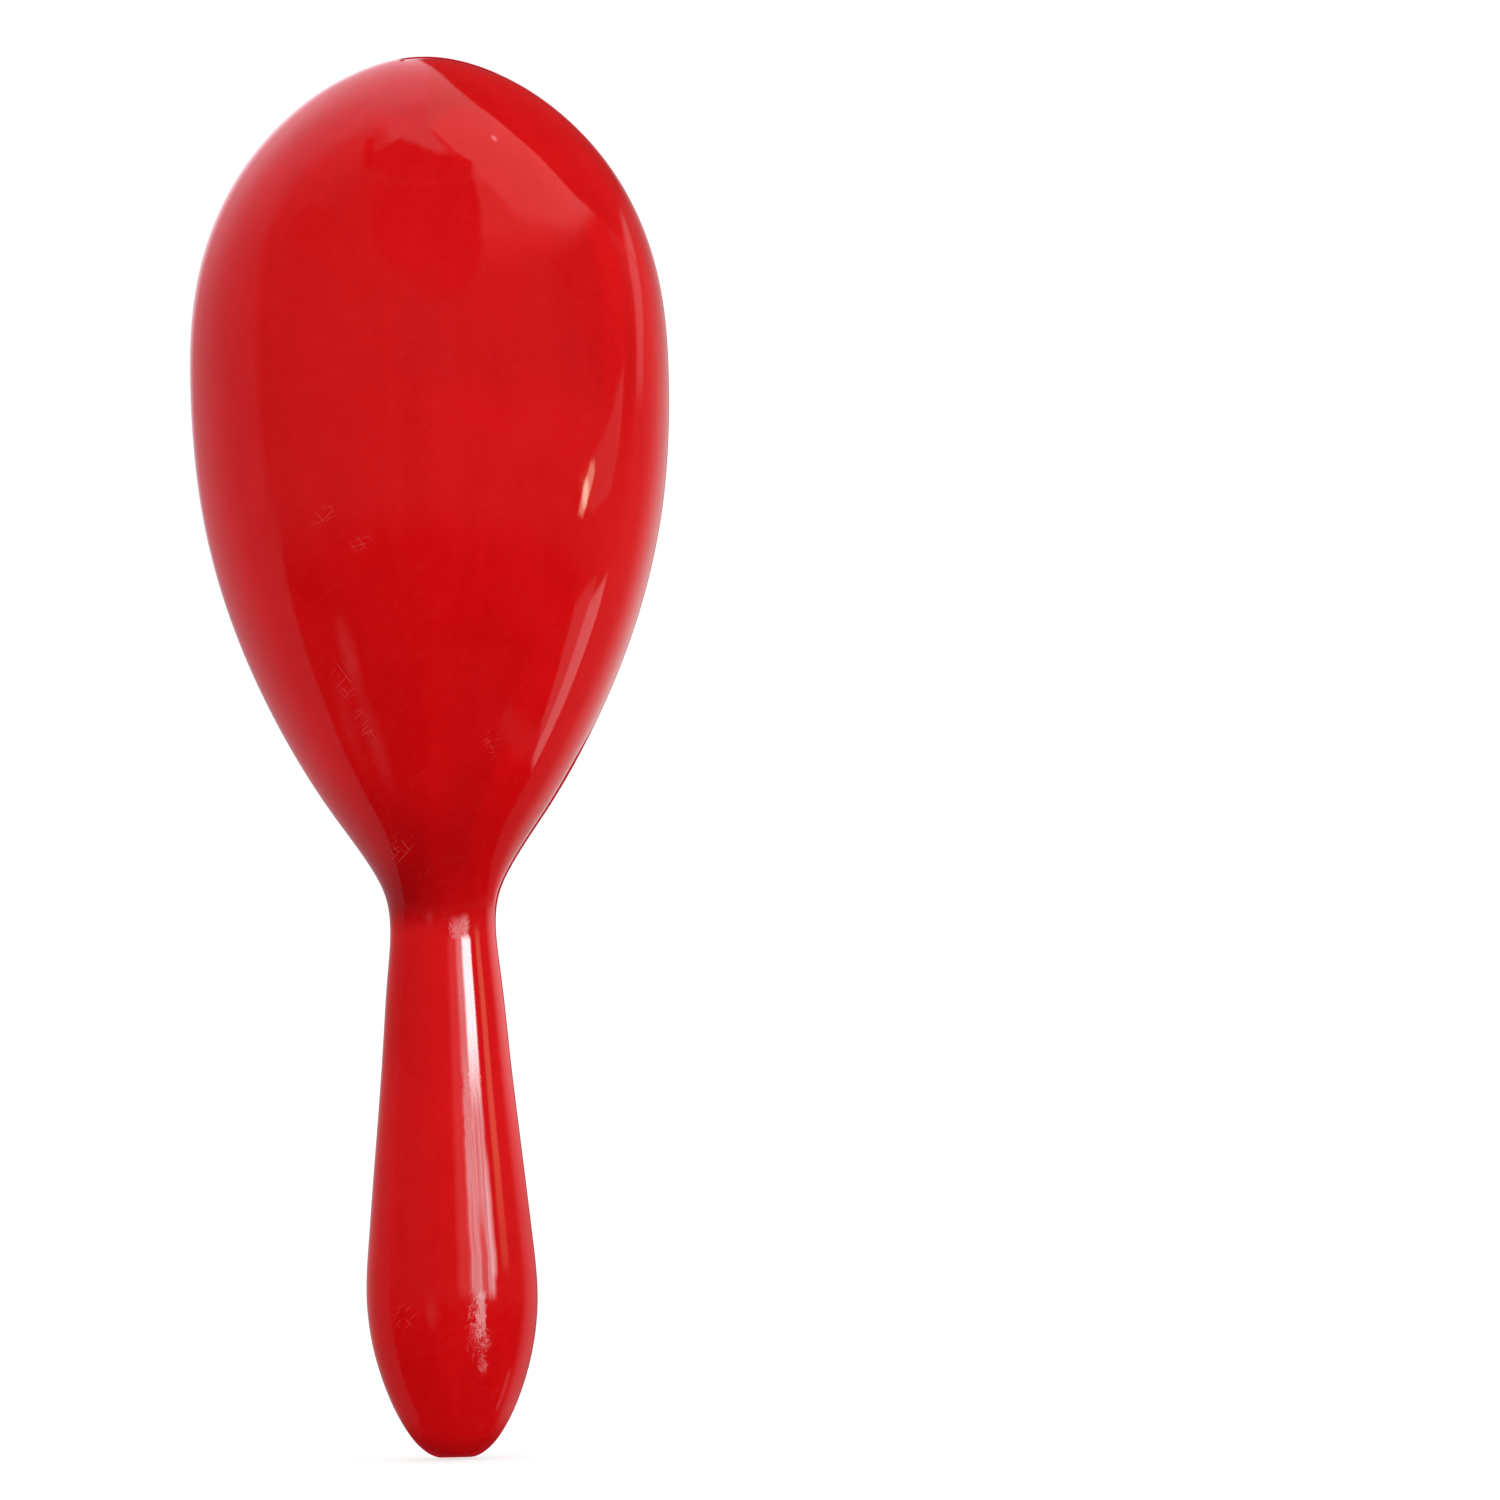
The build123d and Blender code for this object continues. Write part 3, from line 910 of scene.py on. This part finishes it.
def grip_level(tree, azimuth, elevation, height):
    """The room as the grip sees it from a height in metres: brightness, then
    masks of the warm lamp, the window's haze and the strong light."""
    level = room_level(tree, azimuth, elevation, GRIP_ROOM)
    # the bench to the right, brighter towards the neck
    bench = tree.multiply(
        tree.add(0.34, tree.ramp(height, 0.030, 0.070, after=0.46)),
        tree.ramp(azimuth, 104, 127),
        tree.ramp(azimuth, 134, 168, before=1.0, after=0.50),
        tree.ramp(elevation, -48, -24),
    )
    level = tree.maximum(level, bench)

    # the panes are drawn out into streaks and waver along the grip
    wavering = waver(tree, azimuth, height, seed=3.0, frequency=160.0, reach=5.0)
    place = tree.combine(tree.multiply(wavering, 0.28), 0.0, tree.multiply(height, 40.0))
    streaks = tree.noise(place, roughness=0.6)
    streaks = tree.ramp(streaks, 0.30, 0.70, before=0.62, after=1.35)
    run = tree.band(height, *WINDOW_HEIGHTS)
    # window: a wide faint pane, a middle pane and a narrow blazing one
    faint = tree.multiply(tree.band(wavering, 11, 30, 12, 6), run)
    slot = tree.multiply(tree.band(wavering, 44.0, 52.0, 5, 3), tree.fall(height, 0.031, 0.038))
    pane = tree.multiply(
        tree.band(wavering, 28.5, 63.0, 9, 5), run,
        tree.subtract(1.0, tree.multiply(slot, 0.75)), streaks,
    )
    shift = tree.ramp(height, 0.056, 0.070, before=1.2, after=1.0, smooth=False)
    core = tree.multiply(tree.band(tree.subtract(azimuth, shift), 40.5, 60.4, 6, 3.2), run)
    lamp = patch(tree, azimuth, height, *LAMP_PATCH)
    broken = waver(tree, azimuth, height, seed=5.0, frequency=900.0, reach=7.0)
    layers = [
        (faint, 0.55),
        (pane, tree.ramp(height, 0.054, 0.060, before=5.0, after=3.6)),
        (core, tree.ramp(height, 0.0480, 0.0625, before=0.3, after=18.5)),
        (patch(tree, wavering, height, *WINDOW_EDGE), 3.8),
        (lamp, tree.ramp(height, 0.030, 0.045, before=0.75, after=1.4)),
        (tree.fall(height, 0.0232, 0.0246),
         room_level(tree, broken, elevation, GRIP_GLINTS, level=0.0)),
    ]
    for azimuths, heights, value in GRIP_GLEAMS:
        layers.append((patch(tree, azimuth, height, azimuths, heights), value))
    for mask, value in layers:
        level = tree.add(level, tree.multiply(mask, value))

    # nothing shines from under the tip
    tip = tree.multiply(tree.fall(height, 0.0025, 0.0075), tree.fall(elevation, -16, -5))
    level = tree.multiply(
        level,
        tree.subtract(1.0, tree.multiply(tip, 0.85)),
        tree.ramp(height, 0.0015, 0.0070, before=0.55),
    )
    return level, lamp, tree.multiply(faint, 0.8), tree.ramp(level, 1.5, 5.0)


def view_angles(tree, direction):
    """Azimuth and elevation of a direction, in degrees."""
    right = tree.dot(direction, VIEW_RIGHT)
    back = tree.dot(direction, VIEW_BACK)
    up = tree.dot(direction, VIEW_UP)
    degrees = 180 / math.pi
    azimuth = tree.multiply(tree.math("ARCTAN2", right, back), degrees)
    return azimuth, tree.multiply(tree.math("ARCSINE", up), degrees)


def make_world():
    """Soft light for the object, plain white for the camera."""
    world = bpy.data.worlds.new("studio")
    bpy.context.scene.world = world
    tree = ShaderTree(world)
    generated = tree.new("ShaderNodeTexCoord").outputs["Generated"]
    direction = tree.vector("NORMALIZE", generated)
    _, behind, height = tree.separate(direction)
    # the fill keeps the back from being left dark
    fill = tree.multiply(tree.maximum(tree.subtract(behind, FILL_START), 0.0), FILL_GAIN)
    curve = tree.multiply(height, height, SOFT_CURVE)
    level = tree.add(SOFT_BASE, tree.dot(direction, SOFT_LEAN), fill, curve)
    level = tree.maximum(level, SOFT_LEAST)
    soft = tree.shader("ShaderNodeBackground", {"Color": WHITE, "Strength": level})
    white = tree.shader("ShaderNodeBackground", {"Color": WHITE, "Strength": BACKDROP})
    camera_ray = tree.new("ShaderNodeLightPath").outputs["Is Camera Ray"]
    both = tree.shader("ShaderNodeMixShader", {0: camera_ray, 1: soft, 2: white})
    tree.new("ShaderNodeOutputWorld", {"Surface": both})
    world.cycles.sampling_method = "NONE"


def stage_piece(name, points, faces, material, hidden_from, z=0.0):
    """A piece of the set, in metres, that some kinds of ray don't see."""
    mesh = bpy.data.meshes.new(name)
    mesh.from_pydata(points, [], faces)
    piece = bpy.data.objects.new(name, mesh)
    bpy.context.scene.collection.objects.link(piece)
    piece.location.z = z
    mesh.materials.append(material)
    material.cycles.emission_sampling = "NONE"
    for ray in hidden_from:
        setattr(piece, "visible_" + ray, False)


def room_light():
    """Light by the direction of the reflected ray and the height it left from."""
    material, tree = new_material("room_light")
    geometry = tree.new("ShaderNodeNewGeometry")
    incoming = geometry.outputs["Incoming"]
    length = tree.new("ShaderNodeLightPath").outputs["Ray Length"]
    origin = tree.vector("ADD", geometry.outputs["Position"], tree.scale(incoming, length))
    height = tree.separate(origin)[2]
    direction = tree.vector("MULTIPLY", incoming, (-1.0, -1.0, -1.0))
    azimuth, elevation = view_angles(tree, direction)

    head = room_level(tree, azimuth, elevation, HEAD_ROOM)
    lamps = room_level(tree, azimuth, elevation, HEAD_LAMPS, level=head)
    head = tree.mix(tree.ramp(height, 0.0870, 0.0930), head, lamps)
    cool = tree.fall(azimuth, -96, -90)
    head_tint = tree.mix_color(cool, WHITE, (0.96, 0.94, 1.06, 1.0))
    warm = patch(tree, azimuth, elevation, (79, 91, 2, 2), (-14, -4.5, 1, 1))
    head_tint = tree.mix_color(warm, head_tint, (0.95, 1.0, 0.74, 1.0))
    grip, lamp, haze, strong = grip_level(tree, azimuth, elevation, height)
    grip_tint = tree.mix_color(strong, (1.0, 1.0, 1.02, 1.0), (0.64, 1.0, 1.03, 1.0))
    grip_tint = tree.mix_color(lamp, grip_tint, (1.25, 0.92, 0.45, 1.0))
    is_head = tree.ramp(height, 0.0770, 0.0800)
    haze = tree.multiply(haze, tree.subtract(1.0, is_head))
    light = tree.shader("ShaderNodeEmission", {
        "Strength": tree.mix(is_head, grip, head),
        "Color": tree.mix_color(is_head, grip_tint, head_tint),
    })

    red_grip = tree.multiply(
        room_level(tree, azimuth, elevation, RED_GRIP, level=0.0),
        tree.ramp(height, 0.015, 0.055, before=0.45, after=1.3),
    )
    red_head = room_level(tree, azimuth, elevation, RED_HEAD, level=0.0)
    red = tree.mix(tree.ramp(height, 0.079, 0.087), red_grip, red_head)
    red_light = tree.shader("ShaderNodeEmission", {
        "Color": (1.0, 0.0, 0.0, 1.0), "Strength": tree.add(red, haze),
    })
    both = tree.shader("ShaderNodeAddShader", {0: light, 1: red_light})
    tree.new("ShaderNodeOutputMaterial", {"Surface": both})
    return material


def make_room():
    """A dome that only the gloss sees."""
    radius, rows, columns = 4.5, 24, 48
    points, faces = [(0.0, 0.0, -radius)], []
    for i in range(1, rows):
        elevation = -math.pi / 2 + math.pi * i / rows
        for j in range(columns):
            turn = 2 * math.pi * j / columns
            points.append((
                radius * math.cos(elevation) * math.cos(turn),
                radius * math.cos(elevation) * math.sin(turn),
                radius * math.sin(elevation),
            ))
    points.append((0.0, 0.0, radius))
    top = len(points) - 1
    last = top - columns
    for j in range(columns):
        k = (j + 1) % columns
        faces.append((0, 1 + k, 1 + j))
        for a in range(1, last, columns):
            b = a + columns
            faces.append((a + j, a + k, b + k, b + j))
        faces.append((last + j, last + k, top))
    hidden_from = ("camera", "diffuse", "transmission", "volume_scatter", "shadow")
    stage_piece("room", points, faces, room_light(), hidden_from)


def make_floor():
    half = 9.0
    material, tree = new_material("floor_white")
    matte = tree.shader("ShaderNodeBsdfDiffuse", {"Color": (0.34, 0.34, 0.34, 1.0)})
    glow = tree.shader("ShaderNodeEmission", {"Strength": 0.70})
    both = tree.shader("ShaderNodeAddShader", {0: matte, 1: glow})
    tree.new("ShaderNodeOutputMaterial", {"Surface": both})
    corners = [(-half, -half, 0), (half, -half, 0), (half, half, 0), (-half, half, 0)]
    hidden_from = ("diffuse", "glossy", "transmission", "volume_scatter", "shadow")
    stage_piece("floor", corners, [(0, 1, 2, 3)], material, hidden_from, z=-0.0002)


def make_camera():
    distance, view_width, sensor = 1.8, 0.21409, 36.0
    aim = Vector((0.04443, 0.0, 0.09989))
    data = bpy.data.cameras.new("camera")
    camera = bpy.data.objects.new("camera", data)
    bpy.context.scene.collection.objects.link(camera)
    data.sensor_width = sensor
    data.lens = sensor * distance / view_width
    data.clip_start = 0.05
    data.clip_end = 40.0
    placement = Matrix((VIEW_RIGHT, VIEW_UP, VIEW_BACK)).transposed().to_4x4()
    placement.translation = aim + Vector(VIEW_BACK) * distance
    camera.matrix_world = placement
    bpy.context.scene.camera = camera


# ------------------------------------------------------------------------ build
shells = [
    make_shell("front_shell_skin", "front_shell", FRONT),
    make_shell("rear_shell_skin", "rear_shell", REAR),
]
red = red_plastic()
for shell in shells:
    shell.data.materials.clear()
    shell.data.materials.append(red)
    for poly in shell.data.polygons:
        poly.material_index = 0

shot = steel()
for node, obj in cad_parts.items():
    if node.startswith("shot_"):
        if not obj.material_slots:
            obj.data.materials.append(shot)
        for slot in obj.material_slots:
            slot.material = shot

make_world()
make_room()
make_floor()
make_camera()
bpy.context.scene.view_settings.view_transform = "Standard"
bpy.context.scene.view_settings.look = "None"
